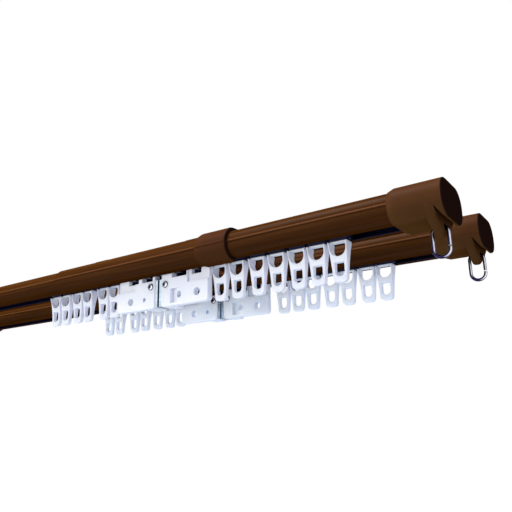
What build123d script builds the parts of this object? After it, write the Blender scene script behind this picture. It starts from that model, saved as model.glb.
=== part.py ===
from build123d import *
import os

# Telescopic double curtain track, in millimetres.
# X runs along the rails, to the right for someone in the room. Y points at the wall, Z up.
# The origin is the centre of the four wall screws, on the wall.

# Rail section, given for the smaller sliding tube about its own rail line
tube_half_width = 10.8
tube_top = 7.7
tube_bottom = -3.9
tube_top_radius = 5.4
tube_bottom_radius = 5.0
sheet = 0.4
tube_clearance = 0.2
slot_width = 7.2
rib_z = 2.1
rib_height = 0.25
rib_radius = 0.75

# Lengths along X
middle_tube_left = -59.0
middle_tube_right = 56.3
right_end = 147.6
left_end = -240.0
tube_insertion = 40.0

# Rail places
back_rail_setback = 45.0
rail_spacing = 46.0

# Wall brackets
screw_spacing_z = 20.0
bracket_to_sleeve = 1.2
screw_hole_radius = 2.2
bracket_sheet = 1.6
bracket_width = 14.0
bracket_drop = 19.3
bracket_margin = 4.0
bracket_bend_radius = 2.0
bracket_corner_radius = 3.0
arm_overhang = 3.0

# Joint sleeve
sleeve_wall = 1.0
sleeve_clearance = 0.1
sleeve_overlap = 16.1
sleeve_slot_clearance = 0.4
sleeve_lip = 1.5
sleeve_lip_clearance = 0.3
sleeve_nose = 2.4
sleeve_shoulder_radius = 0.9

# End cap
cap_wall = 1.1
cap_clearance = 0.1
cap_length = 19.4
cap_end_thickness = 9.2
cap_nose = 2.2
cap_rim_radius = 0.5
nose_rise = 0.3
lug_thickness = 3.6
lug_tip_radius = 2.4
lug_drop = 5.5
lug_from_end = 5.1
lug_root_height = 6.2
lug_bulge_half_width = 11.6
lug_bulge_height = 3.5
lug_shoulder_half_width = 8.4
lug_shoulder_drop = 1.2
lug_edge_radius = 1.4
notch_height = 3.4
notch_foot = 1.1

# Split ring
ring_wire_radius = 0.65
ring_width = 7.0
ring_height = 12.3
ring_gap = 0.5
ring_gap_below_top = 7.6
ring_hole_clearance = 0.3

# Runners
runner_width = 8.1
runner_foot_width = 5.7
runner_depth = 5.4
runner_waist_depth = 2.7
runner_foot_depth = 2.2
runner_foot_radius = 1.7
runner_edge_radius = 0.3
hang_clearance = 0.2
head_clearance = 0.25
neck_depth = 2.2
neck_clearance = 0.3
head_reach = 0.4
head_height = 1.6
head_end_inset = 0.4
top_bar = 0.45
runner_post = 0.6
upper_eye_height = 5.2
lower_eye_width = 4.0
lower_eye_height = 5.4
eye_web = 2.2
eye_foot = 2.4
eye_edge_radius = 0.2

# Free space before each runner, counted outwards from its leader
front_right_gaps = [0.3, 1.4, 2.5, 1.6, 1.7, 0.9, 1.2]
front_left_gaps = [2.4, 0.3, 4.4, 0.3, 2.0, 0.5]
back_right_gaps = [3.2, 0.3, 0.3, 1.8, 0.7, 1.8, 0.6]
back_left_gaps = [0.3, 0.3, 1.9, 2.3, 1.0, 5.1, 1.4]

# Leaders
meeting_x = 11.4
meeting_gap = 1.1
right_leader_length = 28.3
left_leader_length = 25.5
leader_height = 15.2
leader_depth = 8.6
leader_plate_depth = 3.0
leader_block_length = 6.8
leader_corner_radius = 1.6
leader_edge_radius = 0.35
leader_shoulder_drop = 2.0
middle_stem = 2.4
right_plate_stem = 6.6
right_middle_stem_place = 0.59
right_far_stem = 4.6
left_plate_stem = 1.7
left_middle_stem_place = 0.39
left_far_stem = 6.6
ledge_drop = 5.4
ledge_depth = 1.1
ledge_length = 12.2
hook_hole_radius = 1.8
hook_hole_above_foot = 4.7
right_hook_hole_from_end = 6.4
left_hook_hole_from_end = 9.2
pocket_length = 5.2
pocket_height = 6.6
pocket_depth = 2.2
pocket_above_foot = 1.3
pocket_from_plate = 5.8
pocket_hole_radius = 1.6
pocket_hole_from_plate = 11.0
pin_hole_radius = 1.0
pin_hole_from_plate = 6.9

# Magnet plate and its rivet
plate_thickness = 1.6
plate_edge = 0.4
tongue_length = 5.6
tongue_height = 5.0
tongue_thickness = 1.2
tongue_clearance = 0.15
rivet_head_radius = 1.6
rivet_head_height = 0.8
rivet_dome_radius = 0.6
rivet_dimple_radius = 0.8
rivet_dimple_depth = 0.5
rivet_radius = 0.9
rivet_clearance = 0.1
rivet_from_plate = 2.6
rivet_below_top = 4.8

# Worked-out sizes
middle_grow = tube_clearance + sheet
sleeve_bore_grow = middle_grow + sleeve_clearance
sleeve_grow = sleeve_bore_grow + sleeve_wall
cap_grow = cap_clearance + cap_wall
bracket_x = middle_tube_right - sleeve_overlap - bracket_to_sleeve - bracket_width / 2
rail_line_z = -bracket_drop - tube_top - middle_grow
front_rail_y = -back_rail_setback - rail_spacing
back_rail_y = -back_rail_setback
hang_top = tube_bottom - middle_grow - hang_clearance
upper_eye_top = hang_top - top_bar
lower_eye_top = upper_eye_top - upper_eye_height - eye_web
hang_foot = lower_eye_top - lower_eye_height - eye_foot
leader_foot = hang_top - leader_height
leader_shoulder = hang_top - leader_shoulder_drop
leader_front = -leader_depth / 2
upper_eye_width = runner_width - 2 * runner_post
head_half_width = tube_half_width - tube_bottom_radius + head_reach
head_bottom = tube_bottom + sheet + head_clearance
sleeve_slot_width = leader_depth + 2 * sleeve_slot_clearance
ring_bend_radius = ring_width / 2 - ring_wire_radius


def plain_section(grow):
    """The rail's outline across X without its ribs, grown outwards all round by the given amount"""
    height = tube_top - tube_bottom + 2 * grow
    outline = Pos(0, (tube_top + tube_bottom) / 2) * Rectangle(2 * (tube_half_width + grow), height)
    outline = fillet(outline.vertices().group_by(Axis.Y)[0], tube_bottom_radius + grow)
    return fillet(outline.vertices().group_by(Axis.Y)[-1], tube_top_radius + grow)


def section(grow):
    """The rail's outline across X with the low rib rolled along each side"""
    rib_y = tube_half_width + grow + rib_height - rib_radius
    return plain_section(grow) + [Pos(y, rib_z) * Circle(rib_radius) for y in (-rib_y, rib_y)]


def bar(outline, start, end):
    """An outline across X made solid between two places along X"""
    return extrude(Plane.YZ.offset(start) * outline, amount=end - start)


def block(x_range, y_range, z_range):
    """A plain block between two corners"""
    low = [min(pair) for pair in (x_range, y_range, z_range)]
    high = [max(pair) for pair in (x_range, y_range, z_range)]
    size = [b - a for a, b in zip(low, high)]
    return Pos(*low) * Box(*size, align=(Align.MIN, Align.MIN, Align.MIN))


def tapered_nose(outline, start, end, start_grow, end_grow):
    """The sloping end of a sleeve or cap, where it starts on the tube"""
    return loft([Plane.YZ.offset(start) * outline(start_grow), Plane.YZ.offset(end) * outline(end_grow)])


def tube(start, end, grow):
    """Rolled channel with an open slot underneath, grown from the smaller tube's outline"""
    slot = Pos(0, tube_bottom - grow) * Rectangle(slot_width, 4 * sheet)
    return bar(section(grow) - section(grow - sheet) - slot, start, end)


def sliding_tube(side):
    """Smaller tube from inside the middle tube to the bottom of its end cap's socket"""
    if side > 0:
        return tube(middle_tube_right - tube_insertion, right_end - cap_end_thickness, 0)
    return tube(left_end + cap_end_thickness, middle_tube_left + tube_insertion, 0)


def joint_sleeve():
    """Sleeve over the middle tube's right end, with a lip that closes round the sliding tube"""
    start = middle_tube_right - sleeve_overlap
    end = middle_tube_right + sleeve_lip
    nose_end = start + sleeve_nose
    body = bar(plain_section(sleeve_grow), nose_end, end)
    body = fillet(body.faces().sort_by(Axis.X)[-1].edges(), sleeve_shoulder_radius)
    body += bar(section(sleeve_grow), nose_end, end - sleeve_shoulder_radius)
    body += tapered_nose(section, start, nose_end, sleeve_bore_grow + nose_rise, sleeve_grow)
    body -= bar(section(sleeve_bore_grow), start, middle_tube_right)
    body -= bar(section(sleeve_lip_clearance), middle_tube_right, end)
    slot_y = (-sleeve_slot_width / 2, sleeve_slot_width / 2)
    return body - block((start, end), slot_y, (tube_bottom - 2 * sleeve_grow, tube_bottom + sheet))


def cap_on_right():
    """Closed cap with its end face at X = 0, a notch, and a lug for the ring below it"""
    nose_end = -cap_length + cap_nose
    body = bar(plain_section(cap_grow), nose_end, 0)
    body = fillet(body.faces().sort_by(Axis.X)[-1].edges(), cap_rim_radius)
    body += tapered_nose(plain_section, -cap_length, nose_end, cap_clearance + nose_rise, cap_grow)
    body -= bar(section(cap_clearance), -cap_length, -cap_end_thickness)
    cap_bottom = tube_bottom - cap_grow
    lug_right = -lug_from_end + lug_thickness / 2
    notch_top = cap_bottom + notch_height
    notch = Polyline((lug_right, cap_bottom), (lug_right, notch_top), (-notch_foot, cap_bottom), close=True)
    half_width = tube_half_width + cap_grow
    body -= extrude(Plane.XZ * make_face(notch), amount=half_width, both=True)
    body += lug(lug_right) - bar(section(cap_clearance), -cap_length, -cap_end_thickness)
    return body - ring_hole(lug_right)


def lug(lug_right):
    """Round-edged fin under a cap, from both its lower corners down to a round tip"""
    cap_bottom = tube_bottom - cap_grow
    tip = Pos(0, cap_bottom - lug_drop + lug_tip_radius) * Circle(lug_tip_radius)
    right_side = [
        (lug_shoulder_half_width, cap_bottom - lug_shoulder_drop),
        (lug_bulge_half_width, cap_bottom + lug_bulge_height),
        (tube_half_width + cap_wall, cap_bottom + lug_root_height),
    ]
    left_side = [(-y, z) for y, z in reversed(right_side)]
    sides = Polyline(*right_side, *left_side, close=True)
    body = bar(make_hull(tip.edges() + sides.edges()), lug_right - lug_thickness, lug_right)
    faces = body.faces().sort_by(Axis.X)
    return fillet(faces[0].edges() + faces[-1].edges(), lug_edge_radius)


def ring_hole_radius():
    """Hole in the lug: the wire, its bend across the lug, and clearance"""
    return ring_wire_radius + ring_sink() / 2 + ring_hole_clearance


def ring_sink():
    """How far the ring's bent top drops between the lug's middle and its faces"""
    return ring_bend_radius - (ring_bend_radius ** 2 - (lug_thickness / 2) ** 2) ** 0.5


def ring_top_z():
    """Centre of the wire at the ring's top, just below the cap"""
    return tube_bottom - cap_grow - ring_hole_clearance / 2 - ring_wire_radius


def ring_axis_z():
    """Height of the hole in the lug, on which the ring swings"""
    return ring_top_z() - ring_sink() / 2


def ring_hole(lug_right):
    """Room for the wire through the lug, also where it reaches up into the cap"""
    hole = Pos(0, ring_axis_z()) * Circle(ring_hole_radius())
    return bar(hole, lug_right - lug_thickness, lug_right)


def ring_on_right():
    """Split ring of round wire in the plane of the rail, hanging in the lug of a cap that ends at X = 0"""
    radius = ring_bend_radius
    high = ring_top_z() - radius
    low = ring_top_z() - (ring_height - 2 * ring_wire_radius) + radius
    gap_z = ring_top_z() - ring_gap_below_top
    left, right = -lug_from_end - radius, -lug_from_end + radius
    path = Line((right, 0, gap_z + ring_gap / 2), (right, 0, high))
    path += ThreePointArc((right, 0, high), (-lug_from_end, 0, high + radius), (left, 0, high))
    path += Line((left, 0, high), (left, 0, low))
    path += ThreePointArc((left, 0, low), (-lug_from_end, 0, low - radius), (right, 0, low))
    path += Line((right, 0, low), (right, 0, gap_z - ring_gap / 2))
    start = Plane((right, 0, gap_z + ring_gap / 2), z_dir=(0, 0, 1))
    return sweep(start * Circle(ring_wire_radius), path=path)


def at_end(piece, side):
    """A piece made for a right end at X = 0, put at the right end or turned round for the left one"""
    if side > 0:
        return Pos(right_end, 0, 0) * piece
    return Pos(left_end, 0, 0) * Rot(0, 0, 180) * piece


def hanging_head(start, end):
    """Head that rides on the lips inside the rail"""
    return block((start, end), (-head_half_width, head_half_width), (head_bottom, head_bottom + head_height))


def neck(x_range, y_range, bottom):
    """Neck that passes through the slot, between the head and what hangs below"""
    return block(x_range, y_range, (bottom, head_bottom + head_height / 2))


def eye(width, height, top):
    """Opening with a flat top and a round bottom, right through in Y"""
    radius = width / 2
    straight = height - radius
    outline = Pos(0, top - straight / 2) * Rectangle(width, straight)
    return outline + Pos(0, top - straight) * Circle(radius)


def runner_taper():
    """Side view of a runner: deep under the rail, hollowed to a waist between the eyes, thin at the foot"""
    waist_z = lower_eye_top + eye_web / 2
    right_side = [
        (runner_depth / 2, hang_top), (runner_waist_depth / 2, waist_z), (runner_foot_depth / 2, hang_foot)
    ]
    left_side = [(-y, z) for y, z in reversed(right_side)]
    outline = ThreePointArc(*right_side) + Line(right_side[-1], left_side[0])
    outline += ThreePointArc(*left_side) + Line(left_side[-1], right_side[0])
    return make_face(outline)


def runner():
    """Tapered runner with an upper and a lower eye, closed above only by the neck, centred on X = 0"""
    outline = make_face(Polyline(
        (-runner_width / 2, hang_top), (runner_width / 2, hang_top),
        (runner_foot_width / 2, hang_foot), (-runner_foot_width / 2, hang_foot), close=True
    ))
    outline = fillet(outline.vertices().group_by(Axis.Y)[0], runner_foot_radius)
    body = extrude(Plane.XZ * outline, amount=runner_depth, both=True)
    body &= bar(runner_taper(), -runner_width, runner_width)
    front_and_back = body.faces().sort_by(Axis.Y)
    body = fillet(front_and_back[0].edges() + front_and_back[-1].edges(), runner_edge_radius)
    upper_eye = eye(upper_eye_width, upper_eye_height, upper_eye_top)
    lower_eye = eye(lower_eye_width, lower_eye_height, lower_eye_top)
    for opening in (upper_eye, lower_eye):
        body -= extrude(Plane.XZ * opening, amount=runner_depth, both=True)
    rims = [wire.edges() for face in body.faces() for wire in face.inner_wires()]
    body = fillet([edge for rim in rims for edge in rim], eye_edge_radius)
    eye_x = (-upper_eye_width / 2, upper_eye_width / 2)
    for side in (-1, 1):
        beside_neck = (side * neck_depth / 2, side * runner_depth)
        body -= block(eye_x, beside_neck, (upper_eye_top - eye_edge_radius, hang_top + top_bar))
    half = runner_width / 2 - head_end_inset
    body += neck((-half, half), (-neck_depth / 2, neck_depth / 2), hang_top - top_bar / 2)
    return body + hanging_head(-half, half)


def runner_centres(side, gaps):
    """Places of a row of runners, stacked outwards from the end of their leader"""
    length = right_leader_length if side > 0 else left_leader_length
    edge = meeting_gap / 2 + plate_thickness + length
    centres = []
    for gap in gaps:
        centres.append(meeting_x + side * (edge + gap + runner_width / 2))
        edge += gap + runner_width
    return centres


def leader_outline(length, stems):
    """Front view of a leader: three stems on a plate with round lower corners, from X = 0 outwards"""
    plate_size = (length, leader_shoulder - leader_foot)
    plate = Pos(length / 2, (leader_shoulder + leader_foot) / 2) * Rectangle(*plate_size)
    plate = fillet(plate.vertices().group_by(Axis.Y)[0], leader_corner_radius)
    return plate + [stem(span, hang_top, leader_shoulder) for span in stems]


def stem_spans(length, plate_stem, middle_place, far_stem):
    """Start and end of each stem along a leader"""
    middle = middle_place * length
    middle_span = (middle - middle_stem / 2, middle + middle_stem / 2)
    return [(0, plate_stem), middle_span, (length - far_stem, length)]


def stem(span, top, bottom):
    """One stem in the front view"""
    return Pos((span[0] + span[1]) / 2, (top + bottom) / 2) * Rectangle(span[1] - span[0], top - bottom)


def through_y(x, z, radius):
    """Round hole right through a leader in Y"""
    return Pos(x, 0, z) * Rot(90, 0, 0) * Cylinder(radius, 2 * leader_depth)


def leader_plain(length, stems):
    """What both leaders share: a plate with a deep meeting end, stems, head, and room for the rivet"""
    body = extrude(Plane.XZ * leader_outline(length, stems), amount=leader_depth / 2, both=True)
    front_and_back = body.faces().filter_by(Axis.Y).sort_by(Axis.Y)
    body = fillet(front_and_back[0].edges() + front_and_back[-1].edges(), leader_edge_radius)
    behind_y = (leader_front + leader_plate_depth, leader_depth)
    body -= block((leader_block_length, 2 * length), behind_y, (2 * leader_foot, hang_top))
    body -= block((0, leader_block_length), behind_y, (leader_shoulder, hang_top))
    ledge_x = (length - ledge_length, length + leader_edge_radius)
    ledge_y = (leader_front - ledge_depth, leader_front + ledge_depth)
    body -= block(ledge_x, ledge_y, (hang_top - ledge_drop, hang_top))
    neck_y = (neck_clearance - slot_width / 2, leader_front + leader_plate_depth)
    for span in stems:
        body += neck(span, neck_y, hang_top - leader_shoulder_drop / 2)
        body += hanging_head(*span)
    slot_y = tongue_thickness / 2 + tongue_clearance
    slot_half_height = tongue_height / 2 + tongue_clearance
    slot_z = (rivet_z() - slot_half_height, rivet_z() + slot_half_height)
    body -= block((0, tongue_length + tongue_clearance), (-slot_y, slot_y), slot_z)
    return body - through_y(rivet_from_plate, rivet_z(), rivet_radius + rivet_clearance)


def rivet_z():
    """Height of the rivet in a leader"""
    return hang_top - rivet_below_top


def right_leader():
    """Leader that runs to the right from X = 0, with a hooking hole and a pocket"""
    stems = stem_spans(right_leader_length, right_plate_stem, right_middle_stem_place, right_far_stem)
    body = leader_plain(right_leader_length, stems)
    hole_z = leader_foot + hook_hole_above_foot
    body -= through_y(right_leader_length - right_hook_hole_from_end, hole_z, hook_hole_radius)
    ramp = make_face(Polyline(
        (pocket_from_plate, leader_front), (pocket_from_plate, leader_front + pocket_depth),
        (pocket_from_plate + pocket_length, leader_front), close=True
    ))
    body -= Pos(0, 0, leader_foot + pocket_above_foot) * extrude(ramp, amount=pocket_height, dir=(0, 0, 1))
    return body - through_y(pocket_hole_from_plate, hole_z, pocket_hole_radius)


def left_leader():
    """Leader that runs to the right from X = 0 as drawn, with two holes; it is mirrored when placed"""
    stems = stem_spans(left_leader_length, left_plate_stem, left_middle_stem_place, left_far_stem)
    body = leader_plain(left_leader_length, stems)
    hole_z = leader_foot + hook_hole_above_foot
    body -= through_y(left_leader_length - left_hook_hole_from_end, hole_z, hook_hole_radius)
    return body - through_y(pin_hole_from_plate, hole_z, pin_hole_radius)


def magnet_plate():
    """Steel plate on a leader's meeting end, with a tongue back into the leader's slot"""
    half_depth = leader_depth / 2 - plate_edge
    plate_z = (leader_foot + plate_edge, leader_shoulder)
    plate = block((-plate_thickness, 0), (-half_depth, half_depth), plate_z)
    half_thickness = tongue_thickness / 2
    half_height = tongue_height / 2
    tongue_z = (rivet_z() - half_height, rivet_z() + half_height)
    plate += block((0, tongue_length), (-half_thickness, half_thickness), tongue_z)
    return plate - through_y(rivet_from_plate, rivet_z(), rivet_radius + rivet_clearance)


def rivet():
    """Rivet through leader and tongue, with a dimpled head on the front"""
    shank = Cylinder(rivet_radius, leader_depth, align=(Align.CENTER, Align.CENTER, Align.MIN))
    head = Pos(0, 0, leader_depth) * Cylinder(
        rivet_head_radius, rivet_head_height, align=(Align.CENTER, Align.CENTER, Align.MIN)
    )
    head = fillet(head.edges().sort_by(Axis.Z)[-1], rivet_dome_radius)
    head_top = leader_depth + rivet_head_height
    head -= Pos(0, 0, head_top) * Cylinder(rivet_dimple_radius, 2 * rivet_dimple_depth)
    return Pos(rivet_from_plate, leader_depth / 2, rivet_z()) * Rot(90, 0, 0) * (shank + head)


def at_meeting(piece, side):
    """A leader's piece, drawn to the right of X = 0, put on its side of the meeting place"""
    start = meeting_gap / 2 + plate_thickness
    if side > 0:
        return Pos(meeting_x + start, 0, 0) * piece
    return Pos(meeting_x - start, 0, 0) * mirror(piece, about=Plane.YZ)


def bracket(x):
    """Folded steel bracket: a wall plate with two screw holes and an arm over both rails"""
    plate_top = screw_spacing_z / 2 + bracket_margin
    arm_front = front_rail_y - arm_overhang
    arm_bottom = -bracket_drop
    profile = make_face(Polyline(
        (0, plate_top), (0, arm_bottom), (arm_front, arm_bottom), (arm_front, arm_bottom + bracket_sheet),
        (-bracket_sheet, arm_bottom + bracket_sheet), (-bracket_sheet, plate_top), close=True
    ))
    inside = profile.vertices().sort_by_distance((-bracket_sheet, arm_bottom + bracket_sheet))[0]
    profile = fillet(inside, bracket_bend_radius)
    outside = profile.vertices().sort_by_distance((0, arm_bottom))[0]
    profile = fillet(outside, bracket_bend_radius + bracket_sheet)
    body = bar(profile, x - bracket_width / 2, x + bracket_width / 2)
    body = fillet(body.edges().filter_by(Axis.Y).group_by(Axis.Z)[-1], bracket_corner_radius)
    body = fillet(body.edges().filter_by(Axis.Z).group_by(Axis.Y)[0], bracket_corner_radius)
    for z in (-screw_spacing_z / 2, screw_spacing_z / 2):
        body -= Pos(x, 0, z) * Rot(90, 0, 0) * Cylinder(screw_hole_radius, 4 * bracket_sheet)
    return body


def rail_pieces(rail, right_gaps, left_gaps):
    """Every piece of one rail about its rail line, by name"""
    pieces = {
        f"{rail}_middle_tube": tube(middle_tube_left, middle_tube_right, middle_grow),
        f"{rail}_joint_sleeve": joint_sleeve(),
    }
    sides = (("right", 1, right_leader(), right_gaps), ("left", -1, left_leader(), left_gaps))
    for name, side, leader, gaps in sides:
        pieces[f"{rail}_{name}_tube"] = sliding_tube(side)
        pieces[f"{rail}_{name}_cap"] = at_end(cap_on_right(), side)
        pieces[f"{rail}_{name}_ring"] = at_end(ring_on_right(), side)
        pieces[f"{rail}_{name}_leader"] = at_meeting(leader, side)
        pieces[f"{rail}_{name}_magnet_plate"] = at_meeting(magnet_plate(), side)
        pieces[f"{rail}_{name}_rivet"] = at_meeting(rivet(), side)
        for number, x in enumerate(runner_centres(side, gaps), start=1):
            pieces[f"{rail}_{name}_runner_{number}"] = Pos(x, 0, 0) * runner()
    return pieces


def main():
    """Build every piece and write one file for each"""
    os.makedirs("parts", exist_ok=True)
    rails = (
        ("front", front_rail_y, front_right_gaps, front_left_gaps),
        ("back", back_rail_y, back_right_gaps, back_left_gaps),
    )
    for rail, y, right_gaps, left_gaps in rails:
        for name, piece in rail_pieces(rail, right_gaps, left_gaps).items():
            export_step(Pos(0, y, rail_line_z) * piece, f"parts/{name}.step")
    export_step(bracket(-bracket_x), "parts/left_bracket.step")
    export_step(bracket(bracket_x), "parts/right_bracket.step")


main()
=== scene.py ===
import math

import bmesh
import bpy
from mathutils import Matrix, Vector


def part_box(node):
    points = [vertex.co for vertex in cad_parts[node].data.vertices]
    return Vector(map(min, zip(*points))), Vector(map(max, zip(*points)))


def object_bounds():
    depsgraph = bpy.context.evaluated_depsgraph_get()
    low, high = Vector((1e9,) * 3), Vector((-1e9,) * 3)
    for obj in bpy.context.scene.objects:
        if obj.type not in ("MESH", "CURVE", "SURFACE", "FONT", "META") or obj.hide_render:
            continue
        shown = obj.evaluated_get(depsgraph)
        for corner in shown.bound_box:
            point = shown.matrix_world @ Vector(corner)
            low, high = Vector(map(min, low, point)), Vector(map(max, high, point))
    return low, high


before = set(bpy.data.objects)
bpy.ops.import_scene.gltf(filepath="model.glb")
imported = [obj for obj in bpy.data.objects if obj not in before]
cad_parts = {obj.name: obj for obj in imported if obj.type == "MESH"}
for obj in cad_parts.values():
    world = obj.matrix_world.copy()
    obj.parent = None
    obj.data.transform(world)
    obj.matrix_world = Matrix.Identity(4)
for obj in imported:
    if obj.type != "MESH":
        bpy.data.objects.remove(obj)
cad_low, cad_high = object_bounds()

RAILS = ("front", "back")
RIGHT = (1.0, 0.0, 0.0)
UP = (0.0, 0.0, 1.0)
DOWN = (0.0, 0.0, -1.0)


def linear(red, green, blue):
    """A colour given as screen bytes, made linear for a shader socket"""
    def one(value):
        share = value / 255
        return share / 12.92 if share <= 0.04045 else ((share + 0.055) / 1.055) ** 2.4
    return (one(red), one(green), one(blue), 1.0)


# Browns of the rails, caps and sleeves; of two tints the first is painted shade for faces that look down, the
# second painted light for faces that look up
RAIL_BROWN = linear(77, 43, 12)
RAIL_BROWN_DEEP = linear(58, 29, 5)
RAIL_SLOPE_SHADING = ((0.62, 0.64, 0.75, 1.0), (1.25, 1.3, 1.7, 1.0))
CAP_BROWN = linear(84, 52, 21)
CAP_BROWN_DEEP = linear(77, 46, 18)
CAP_SLOPE_SHADING = ((0.78, 0.88, 1.05, 1.0), (1.06, 1.0, 1.6, 1.0))
SLEEVE_BROWN = linear(76, 42, 14)
SLEEVE_BROWN_DEEP = linear(70, 37, 12)
SLEEVE_SLOPE_SHADING = ((0.7, 0.79, 1.05, 1.0), (1.17, 1.2, 2.2, 1.0))
# Painted highlight: a lighter line along the rails' rib, in this brown and at this strength
RIB_HIGHLIGHT_BROWN = linear(93, 55, 24)
RIB_HIGHLIGHT_SHARE = 0.8
# Painted shade: near black on the caps' end faces and the sleeves' right end faces
PAINTED_END_SHADE = linear(32, 17, 12)
# Painted shade: dark navy in the rails' hollows and on the white parts where they ride in the slot
PAINTED_SLOT_SHADE = linear(30, 35, 60)
BROWN_ROUGHNESS = 0.5
BROWN_SHEEN = 0.02
SHEEN_FADE = (0.3, 0.55)

# Whites of the runners and leaders, with the painted shade tints of their sides and undersides; a drift is
# how far the roughness wanders
RUNNER_WHITE = linear(242, 242, 237)
RUNNER_SHADE = linear(237, 238, 236)
MILKY_WHITE = linear(242, 247, 247)
MILKY_SHADE = linear(233, 241, 244)
SIDE_SHADE_TINT = (0.97, 0.98, 1.08)
UNDER_SHADE_TINT = (0.72, 0.8, 0.92)
WHITE_GLOSS = 0.35
GLOW_SPREAD = (1.0, 1.0, 1.15)
PLASTIC_DRIFT = 0.06

# Chrome of the rings, rivets and magnet plates, with a painted reflection that is brightest on faces that
# look along its axis and dark on the others
CHROME_BRIGHT = linear(232, 232, 240)
CHROME_DULL = linear(204, 206, 220)
CHROME_DARK_REFLECTION = linear(34, 28, 60)
CHROME_REFLECTION_AXIS = (0.56, -0.79, -0.26)
CHROME_DRIFT = (-0.04, 0.06)
PLATE_BLUE = linear(206, 222, 236)
PLATE_BLUE_DULL = linear(188, 206, 224)

# How far a face has to look along a direction for a painted shade or light to start and to be full
SLOPE_SHADING_TURN = (-0.7, 0.7)
SIDE_SHADE_TURN = (0.3, 0.9)
SLEEVE_END_SHADE_TURN = (0.4, 0.8)

# Measures on the part in metres: the rib's middle over the rails' lowest edge, the painted highlight line's
# core and edge off that middle, the skin of painted shade on the caps' end faces, and the blur of the painted
# shade where the white parts enter the slot
RIB_RISE = 0.0069
RIB_CORE = 0.0002
RIB_EDGE = 0.0006
END_SHADE_START = 0.0005
END_SHADE_FULL = 0.0002
SLOT_BLUR = 0.0003

# Depths of the fine relief, and the reach of light inside the white plastic, in metres
BROWN_GRAIN = 0.00001
WHITE_GRAIN = 0.000006
RAIL_PEEL = 0.00002
BRACKET_PEEL = 0.00003
GLOW_REACH = 0.0025


# Small helpers for building node trees

def feed(tree, socket, value):
    """Link a socket into an input, or set a plain value on it"""
    if isinstance(value, bpy.types.NodeSocket):
        tree.links.new(value, socket)
    else:
        socket.default_value = value


def feed_named(tree, node, inputs):
    """Feed a node's inputs by name; underscores stand for spaces"""
    for name, value in inputs.items():
        feed(tree, node.inputs[name.replace("_", " ")], value)


def add_node(tree, kind, **inputs):
    """A node with its inputs fed by name"""
    made = tree.nodes.new(kind)
    feed_named(tree, made, inputs)
    return made


def noise(tree, vector, scale, detail):
    """Noise from 0 to 1 on a vector"""
    return add_node(tree, "ShaderNodeTexNoise", Vector=vector, Scale=scale, Detail=detail).outputs["Fac"]


def remap(tree, value, low, high, to_low, to_high):
    """A value moved from one range to another and kept inside it"""
    made = add_node(
        tree, "ShaderNodeMapRange", Value=value, From_Min=low, From_Max=high, To_Min=to_low, To_Max=to_high
    )
    return made.outputs["Result"]


def ramp(tree, value, start, full):
    """0 up to start, 1 from full on, and an even rise between"""
    return remap(tree, value, start, full, 0.0, 1.0)


def arithmetic(tree, operation, first, second):
    """One Math node on two values"""
    made = tree.nodes.new("ShaderNodeMath")
    made.operation = operation
    feed(tree, made.inputs[0], first)
    feed(tree, made.inputs[1], second)
    return made.outputs["Value"]


def absolute(tree, value):
    """A value without its sign"""
    return arithmetic(tree, "ABSOLUTE", value, 0.0)


def vector_arithmetic(tree, operation, first, second):
    """One Vector Math node on two vectors"""
    made = tree.nodes.new("ShaderNodeVectorMath")
    made.operation = operation
    feed(tree, made.inputs[0], first)
    feed(tree, made.inputs[1], second)
    return made.outputs["Value" if operation == "DOT_PRODUCT" else "Vector"]


def place_along(tree, direction):
    """How far a point lies along a direction, in metres"""
    point = tree.nodes.new("ShaderNodeTexCoord").outputs["Object"]
    return vector_arithmetic(tree, "DOT_PRODUCT", point, direction)


def face_along(tree, direction):
    """1 on faces that look along a direction, 0 on faces square to it, -1 on faces that look the other way"""
    normal = tree.nodes.new("ShaderNodeTexCoord").outputs["Normal"]
    return vector_arithmetic(tree, "DOT_PRODUCT", normal, direction)


def mix_colour(tree, factor, first, second):
    """Two colours mixed by a factor"""
    made = tree.nodes.new("ShaderNodeMix")
    made.data_type = "RGBA"
    feed(tree, made.inputs["Factor"], factor)
    feed(tree, made.inputs[6], first)
    feed(tree, made.inputs[7], second)
    return made.outputs[2]


def new_group(name, inputs, outputs):
    """An empty shader node group with its named sockets; each input has a default"""
    group = bpy.data.node_groups.new(name, "ShaderNodeTree")
    for socket, kind, default in inputs:
        group.interface.new_socket(socket, in_out="INPUT", socket_type=kind).default_value = default
    for socket, kind in outputs:
        group.interface.new_socket(socket, in_out="OUTPUT", socket_type=kind)
    return group, group.nodes.new("NodeGroupInput").outputs, group.nodes.new("NodeGroupOutput").inputs


# Effects that several finishes share

FINISH_OUTPUTS = (
    ("Colour", "NodeSocketColor"), ("Roughness", "NodeSocketFloat"), ("Height", "NodeSocketFloat")
)

# Parts of the noise's range over which tone and gloss change
CLOUD_TONE = (0.35, 0.65)
CLOUD_GLOSS = (0.3, 0.7)
LINE_RANGE = (0.3, 0.7)

# Stretches the noise along X into drawn lines
DRAWN_OUT = (0.02, 1.0, 1.0)


def make_moulded_group():
    """Moulded plastic: a broad cloudiness, a fine eroded grain and a drifting gloss"""
    group, given, out = new_group("moulded_surface", (
        ("Colour", "NodeSocketColor", CAP_BROWN),
        ("Shade", "NodeSocketColor", CAP_BROWN_DEEP),
        ("Cloud Scale", "NodeSocketFloat", 60.0),
        ("Grain Scale", "NodeSocketFloat", 3500.0),
        ("Rough Low", "NodeSocketFloat", 0.35),
        ("Rough High", "NodeSocketFloat", 0.5),
    ), FINISH_OUTPUTS)
    point = group.nodes.new("ShaderNodeTexCoord").outputs["Object"]
    cloud = noise(group, point, given["Cloud Scale"], 4.0)
    grain = noise(group, point, given["Grain Scale"], 2.0)
    tone = ramp(group, cloud, *CLOUD_TONE)
    gloss = remap(group, cloud, *CLOUD_GLOSS, given["Rough Low"], given["Rough High"])
    group.links.new(mix_colour(group, tone, given["Shade"], given["Colour"]), out["Colour"])
    group.links.new(gloss, out["Roughness"])
    group.links.new(grain, out["Height"])
    return group


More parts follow.
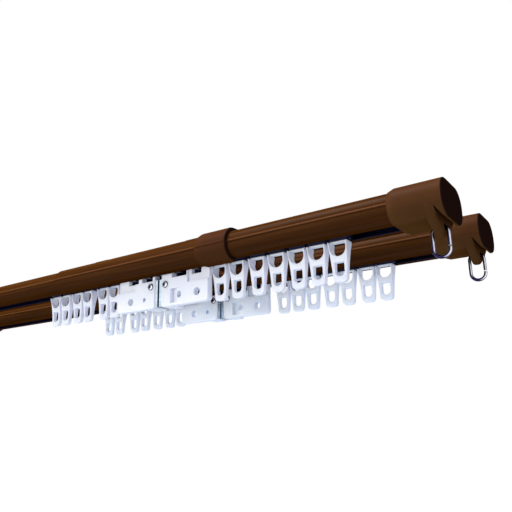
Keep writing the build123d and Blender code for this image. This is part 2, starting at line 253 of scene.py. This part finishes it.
def make_rolled_group():
    """Painted or plated sheet: faint lines drawn along X, broad tone and a soft orange peel"""
    group, given, out = new_group("rolled_surface", (
        ("Colour", "NodeSocketColor", RAIL_BROWN),
        ("Shade", "NodeSocketColor", RAIL_BROWN_DEEP),
        ("Line Scale", "NodeSocketFloat", 900.0),
        ("Peel Scale", "NodeSocketFloat", 700.0),
        ("Rough Low", "NodeSocketFloat", 0.3),
        ("Rough High", "NodeSocketFloat", 0.45),
    ), FINISH_OUTPUTS)
    point = group.nodes.new("ShaderNodeTexCoord").outputs["Object"]
    drawn = vector_arithmetic(group, "MULTIPLY", point, DRAWN_OUT)
    lines = noise(group, drawn, given["Line Scale"], 3.0)
    peel = noise(group, point, given["Peel Scale"], 1.0)
    tone = ramp(group, lines, *LINE_RANGE)
    gloss = remap(group, lines, *LINE_RANGE, given["Rough Low"], given["Rough High"])
    group.links.new(mix_colour(group, tone, given["Shade"], given["Colour"]), out["Colour"])
    group.links.new(gloss, out["Roughness"])
    group.links.new(peel, out["Height"])
    return group


def make_hollow_group():
    """Mask for painted shade, 1 on the faces which look into a rail's hollow, 0 on its outside"""
    group, given, out = new_group(
        "hollow_side", (("Axis", "NodeSocketVector", (0.0, 0.0, 0.0)),), (("Inside", "NodeSocketFloat"),)
    )
    place = group.nodes.new("ShaderNodeTexCoord").outputs
    arm = vector_arithmetic(group, "SUBTRACT", place["Object"], given["Axis"])
    across = vector_arithmetic(group, "MULTIPLY", arm, (0.0, 1.0, 1.0))
    facing = vector_arithmetic(group, "DOT_PRODUCT", across, place["Normal"])
    group.links.new(arithmetic(group, "LESS_THAN", facing, 0.0), out["Inside"])
    return group


MOULDED = make_moulded_group()
ROLLED = make_rolled_group()
HOLLOW_SHADE_MASK = make_hollow_group()


# Finishes

def new_material(name):
    """A material with its own Principled shader, ready to be fed"""
    made = bpy.data.materials.new(name)
    made.use_nodes = True
    return made, made.node_tree, made.node_tree.nodes["Principled BSDF"]


def place_group(tree, group, **inputs):
    """One of the shared effects placed in a material, with its own values"""
    made = tree.nodes.new("ShaderNodeGroup")
    made.node_tree = group
    feed_named(tree, made, inputs)
    return made.outputs


def raise_surface(tree, shader, height, depth):
    """Fine relief of the given depth in metres"""
    bump = add_node(tree, "ShaderNodeBump", Strength=1.0, Distance=depth, Height=height)
    tree.links.new(bump.outputs["Normal"], shader.inputs["Normal"])


def paint_slope_shading(tree, colour, tints):
    """A colour with painted shade on faces that look down and painted light on faces that look up"""
    tint = mix_colour(tree, ramp(tree, face_along(tree, UP), *SLOPE_SHADING_TURN), *tints)
    return vector_arithmetic(tree, "MULTIPLY", colour, tint)


def satin_sheen(tree, shader):
    """The faint sheen of the brown parts, which dies away on faces seen edge-on"""
    edge_on = add_node(tree, "ShaderNodeLayerWeight", Blend=0.5).outputs["Facing"]
    sheen = remap(tree, edge_on, *SHEEN_FADE, BROWN_SHEEN, 0.0)
    tree.links.new(sheen, shader.inputs["Specular IOR Level"])


def moulded(name, colour, shade, rough, grain_depth):
    """The start of an injection-moulded plastic: its relief and gloss, with the colour still to be fed"""
    made, tree, shader = new_material(name)
    look = place_group(
        tree, MOULDED, Colour=colour, Shade=shade,
        Rough_Low=rough - PLASTIC_DRIFT, Rough_High=rough + PLASTIC_DRIFT
    )
    tree.links.new(look["Roughness"], shader.inputs["Roughness"])
    raise_surface(tree, shader, look["Height"], grain_depth)
    return made, tree, shader, look["Colour"]


def end_shade_mask(tree):
    """1 on the outermost skin of the track, where the caps' end faces take painted shade"""
    middle = (cad_low[0] + cad_high[0]) / 2
    half_length = cad_high[0] - middle
    reach = absolute(tree, arithmetic(tree, "SUBTRACT", place_along(tree, RIGHT), middle))
    return ramp(tree, reach, half_length - END_SHADE_START, half_length - END_SHADE_FULL)


def cap_plastic():
    """End caps, with painted shade that makes their end faces near black"""
    made, tree, shader, colour = moulded(
        "cap_plastic", CAP_BROWN, CAP_BROWN_DEEP, BROWN_ROUGHNESS, BROWN_GRAIN
    )
    # Painted shade on faces that look down, painted light on faces that look up
    shaded_colour = paint_slope_shading(tree, colour, CAP_SLOPE_SHADING)
    # Painted shade: the end faces near black
    tree.links.new(mix_colour(tree, end_shade_mask(tree), shaded_colour, PAINTED_END_SHADE), shader.inputs["Base Color"])
    satin_sheen(tree, shader)
    return made


def sleeve_plastic():
    """Joint sleeves, with painted shade that makes the end face which looks to the right near black"""
    made, tree, shader, colour = moulded(
        "sleeve_plastic", SLEEVE_BROWN, SLEEVE_BROWN_DEEP, BROWN_ROUGHNESS, BROWN_GRAIN
    )
    # Painted shade on faces that look down, painted light on faces that look up
    shaded_colour = paint_slope_shading(tree, colour, SLEEVE_SLOPE_SHADING)
    # Painted shade: the end face that looks to the right near black
    right_end_shade = ramp(tree, face_along(tree, RIGHT), *SLEEVE_END_SHADE_TURN)
    tree.links.new(mix_colour(tree, right_end_shade, shaded_colour, PAINTED_END_SHADE), shader.inputs["Base Color"])
    satin_sheen(tree, shader)
    return made


def above_lips(tree):
    """Height over the lowest edge of the rails, in metres"""
    return arithmetic(tree, "SUBTRACT", place_along(tree, UP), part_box("front_middle_tube")[0][2])


def paint_side_shade(tree, colour):
    """Painted shade on a pale colour: cooler on faces that look along the rails, cooler still on the
    undersides
    """
    along = ramp(tree, absolute(tree, face_along(tree, RIGHT)), *SIDE_SHADE_TURN)
    under = ramp(tree, face_along(tree, DOWN), *SIDE_SHADE_TURN)
    # Painted shade: sides and undersides tinted cooler
    shaded_colour = mix_colour(tree, along, colour, vector_arithmetic(tree, "MULTIPLY", colour, SIDE_SHADE_TINT))
    return mix_colour(tree, under, shaded_colour, vector_arithmetic(tree, "MULTIPLY", colour, UNDER_SHADE_TINT))


def pale_plastic(name, colour, shade, rough, glow):
    """Runners and leaders, with painted shade in the slot; glow is the share of light scattered inside"""
    made, tree, shader, tone = moulded(name, colour, shade, rough, WHITE_GRAIN)
    # Painted shade where the white parts ride in the slot
    slot_shade = ramp(tree, above_lips(tree), 0.0, SLOT_BLUR)
    tree.links.new(mix_colour(tree, slot_shade, paint_side_shade(tree, tone), PAINTED_SLOT_SHADE), shader.inputs["Base Color"])
    shader.inputs["Specular IOR Level"].default_value = WHITE_GLOSS
    shader.inputs["Subsurface Weight"].default_value = glow
    shader.inputs["Subsurface Radius"].default_value = GLOW_SPREAD
    shader.inputs["Subsurface Scale"].default_value = GLOW_REACH
    return made


def rail_middle(rail):
    """Centre of a rail's middle tube, in metres"""
    low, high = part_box(f"{rail}_middle_tube")
    return (Vector(low) + Vector(high)) / 2


def painted_rail(rail):
    """Brown paint outside, with a painted highlight along the rolled rib; painted shade in the hollow"""
    made, tree, shader = new_material(f"{rail}_rail_paint")
    look = place_group(tree, ROLLED)
    inside = place_group(tree, HOLLOW_SHADE_MASK, Axis=rail_middle(rail))["Inside"]
    # Painted highlight: a lighter line along the rib
    off_rib = absolute(tree, arithmetic(tree, "SUBTRACT", above_lips(tree), RIB_RISE))
    rib_highlight = remap(tree, off_rib, RIB_CORE, RIB_EDGE, RIB_HIGHLIGHT_SHARE, 0.0)
    # Painted shade on faces that look down, painted light on faces that look up
    shaded_colour = paint_slope_shading(tree, mix_colour(tree, rib_highlight, look["Colour"], RIB_HIGHLIGHT_BROWN), RAIL_SLOPE_SHADING)
    # Painted shade in the rail's hollow
    tree.links.new(mix_colour(tree, inside, shaded_colour, PAINTED_SLOT_SHADE), shader.inputs["Base Color"])
    tree.links.new(look["Roughness"], shader.inputs["Roughness"])
    raise_surface(tree, shader, look["Height"], RAIL_PEEL)
    satin_sheen(tree, shader)
    return made


def painted_bracket():
    """The same brown paint on the folded brackets, with painted shade below and painted light above"""
    made, tree, shader = new_material("bracket_paint")
    look = place_group(tree, ROLLED, Line_Scale=500.0, Rough_Low=0.4, Rough_High=0.55)
    # Painted shade on faces that look down, painted light on faces that look up
    tree.links.new(paint_slope_shading(tree, look["Colour"], RAIL_SLOPE_SHADING), shader.inputs["Base Color"])
    tree.links.new(look["Roughness"], shader.inputs["Roughness"])
    raise_surface(tree, shader, look["Height"], BRACKET_PEEL)
    satin_sheen(tree, shader)
    return made


def bright_chrome(name, colours, line_scale, rough, bright, dark):
    """Plated steel, faint drawn lines, painted reflection; bright and dark: how far a face looks along the
    axis
    """
    made, tree, shader = new_material(name)
    look = place_group(
        tree, ROLLED, Colour=colours[0], Shade=colours[1], Line_Scale=line_scale,
        Rough_Low=rough + CHROME_DRIFT[0], Rough_High=rough + CHROME_DRIFT[1]
    )
    # Painted reflection: bright where a face looks along the axis, dark where it turns away
    painted_reflection = remap(tree, absolute(tree, face_along(tree, CHROME_REFLECTION_AXIS)), dark, bright, 1.0, 0.0)
    tree.links.new(mix_colour(tree, painted_reflection, look["Colour"], CHROME_DARK_REFLECTION), shader.inputs["Base Color"])
    tree.links.new(look["Roughness"], shader.inputs["Roughness"])
    shader.inputs["Metallic"].default_value = 1.0
    return made


RAIL_PAINT = {rail: painted_rail(rail) for rail in RAILS}
CAP_PLASTIC = cap_plastic()
SLEEVE_PLASTIC = sleeve_plastic()
RUNNER_PLASTIC = {
    "front": pale_plastic("white_runner_plastic", RUNNER_WHITE, RUNNER_SHADE, rough=0.38, glow=0.5),
    "back": pale_plastic("milky_runner_plastic", MILKY_WHITE, MILKY_SHADE, rough=0.34, glow=0.7),
}
RING_CHROME = bright_chrome(
    "ring_chrome", (CHROME_BRIGHT, CHROME_DULL), line_scale=2600.0, rough=0.1, bright=0.96, dark=0.84
)
RIVET_CHROME = bright_chrome(
    "rivet_chrome", (CHROME_BRIGHT, CHROME_DULL), line_scale=2600.0, rough=0.1, bright=0.97, dark=0.65
)
PLATE_CHROME = bright_chrome(
    "plate_chrome", (PLATE_BLUE, PLATE_BLUE_DULL), line_scale=500.0, rough=0.22, bright=0.5, dark=0.05
)
BRACKET_PAINT = painted_bracket()


def dress(node, material):
    """Give a carried-over solid its finish"""
    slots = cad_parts[node].data.materials
    slots.clear()
    slots.append(material)


def dress_all():
    """Every carried-over solid gets the finish of its kind"""
    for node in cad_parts:
        rail = node.split("_")[0]
        if node.endswith("bracket"):
            dress(node, BRACKET_PAINT)
        elif node.endswith("tube"):
            dress(node, RAIL_PAINT[rail])
        elif node.endswith("cap"):
            dress(node, CAP_PLASTIC)
        elif node.endswith("sleeve"):
            dress(node, SLEEVE_PLASTIC)
        elif node.endswith("ring"):
            dress(node, RING_CHROME)
        elif node.endswith("rivet"):
            dress(node, RIVET_CHROME)
        elif node.endswith("plate"):
            dress(node, PLATE_CHROME)
        else:
            dress(node, RUNNER_PLASTIC[rail])


dress_all()


# Stage: floor, background, lamps and camera

FLOOR_PALE = linear(236, 236, 234)
FLOOR_DROP = 0.6
FLOOR_SIZE = 30.0
FLOOR_GLOW = 1.15
FLOOR_FADE = 0.85
STUDIO_WHITE = (1.0, 1.0, 1.0, 1.0)
FILL_BLUE = (0.73, 0.78, 1.0, 1.0)
BRIGHT_SIDE = (-0.8, -0.6, 0.0)
FILL_TURN = (-0.6, 0.6)
FILL_BRIGHT = 0.9
FILL_DIM = 0.84


def seen_directly(tree):
    """1 for rays that show the background as it is: camera, glossy and transmission rays"""
    path = tree.nodes.new("ShaderNodeLightPath").outputs
    glossy = arithmetic(tree, "MAXIMUM", path["Is Glossy Ray"], path["Is Transmission Ray"])
    return arithmetic(tree, "MAXIMUM", path["Is Camera Ray"], glossy)


def add_floor():
    """Pale floor below the track, which keeps a soft shadow and fades into the white background"""
    shape = bmesh.new()
    bmesh.ops.create_grid(shape, x_segments=1, y_segments=1, size=FLOOR_SIZE / 2)
    bmesh.ops.translate(shape, verts=shape.verts, vec=(0.0, 0.0, cad_low[2] - FLOOR_DROP))
    mesh = bpy.data.meshes.new("floor")
    shape.to_mesh(mesh)
    shape.free()
    floor = bpy.data.objects.new("floor", mesh)
    bpy.context.scene.collection.objects.link(floor)
    made, tree, shader = new_material("floor_pale")
    shader.inputs["Base Color"].default_value = FLOOR_PALE
    shader.inputs["Roughness"].default_value = 0.9
    shader.inputs["Specular IOR Level"].default_value = 0.0
    white = add_node(tree, "ShaderNodeEmission", Strength=FLOOR_GLOW)
    fade = arithmetic(tree, "MULTIPLY", seen_directly(tree), FLOOR_FADE)
    blend = tree.nodes.new("ShaderNodeMixShader")
    tree.links.new(fade, blend.inputs[0])
    tree.links.new(shader.outputs["BSDF"], blend.inputs[1])
    tree.links.new(white.outputs["Emission"], blend.inputs[2])
    tree.links.new(blend.outputs["Shader"], tree.nodes["Material Output"].inputs["Surface"])
    mesh.materials.append(made)


def set_world():
    """White where it is seen; where it lights, a cool fill, a little dimmer away from the bright side"""
    world = bpy.data.worlds.new("studio")
    bpy.context.scene.world = world
    world.use_nodes = True
    tree = world.node_tree
    background = tree.nodes["Background"].inputs
    seen = seen_directly(tree)
    direction = tree.nodes.new("ShaderNodeTexCoord").outputs["Generated"]
    side = vector_arithmetic(tree, "DOT_PRODUCT", direction, BRIGHT_SIDE)
    fill = remap(tree, side, *FILL_TURN, FILL_DIM, FILL_BRIGHT)
    tree.links.new(remap(tree, seen, 0.0, 1.0, fill, 1.0), background["Strength"])
    tree.links.new(mix_colour(tree, seen, FILL_BLUE, STUDIO_WHITE), background["Color"])


def add_lamp(name, place, target, size, watts):
    """A square soft lamp that looks at a point"""
    data = bpy.data.lights.new(name, "AREA")
    data.size = size
    data.energy = watts
    lamp = bpy.data.objects.new(name, data)
    lamp.location = place
    lamp.rotation_euler = (Vector(target) - Vector(place)).to_track_quat("-Z", "Y").to_euler()
    lamp.visible_camera = False
    bpy.context.scene.collection.objects.link(lamp)


# The photograph's viewpoint, found from its straight edges and end faces
CAMERA_PLACE = (0.19612, -0.27588, -0.09228)
CAMERA_YAW = 0.6174
CAMERA_PITCH = 0.2643
CAMERA_ROLL = 0.0169
CAMERA_LENS = 39.04


def add_camera():
    """Camera at the photograph's viewpoint"""
    forward = Vector((
        -math.sin(CAMERA_YAW) * math.cos(CAMERA_PITCH),
        math.cos(CAMERA_YAW) * math.cos(CAMERA_PITCH),
        math.sin(CAMERA_PITCH),
    ))
    level = Vector((math.cos(CAMERA_YAW), math.sin(CAMERA_YAW), 0.0))
    down = forward.cross(level)
    right = math.cos(CAMERA_ROLL) * level + math.sin(CAMERA_ROLL) * down
    up = math.sin(CAMERA_ROLL) * level - math.cos(CAMERA_ROLL) * down
    data = bpy.data.cameras.new("camera")
    data.lens = CAMERA_LENS
    data.sensor_width = 36.0
    data.sensor_fit = "HORIZONTAL"
    data.clip_start = 0.005
    camera = bpy.data.objects.new("camera", data)
    turn = Matrix((right, up, -forward)).transposed().to_4x4()
    camera.matrix_world = Matrix.Translation(CAMERA_PLACE) @ turn
    bpy.context.scene.collection.objects.link(camera)
    bpy.context.scene.camera = camera


MIDDLE = (Vector(cad_low) + Vector(cad_high)) / 2
add_floor()
set_world()
add_lamp("key", MIDDLE + Vector((-0.3, -0.3, 0.95)), MIDDLE, size=0.5, watts=14.0)
add_lamp("front_fill", MIDDLE + Vector((-0.2, -0.9, -0.1)), MIDDLE, size=0.7, watts=2.65)
add_camera()
bpy.context.scene.view_settings.view_transform = "Standard"
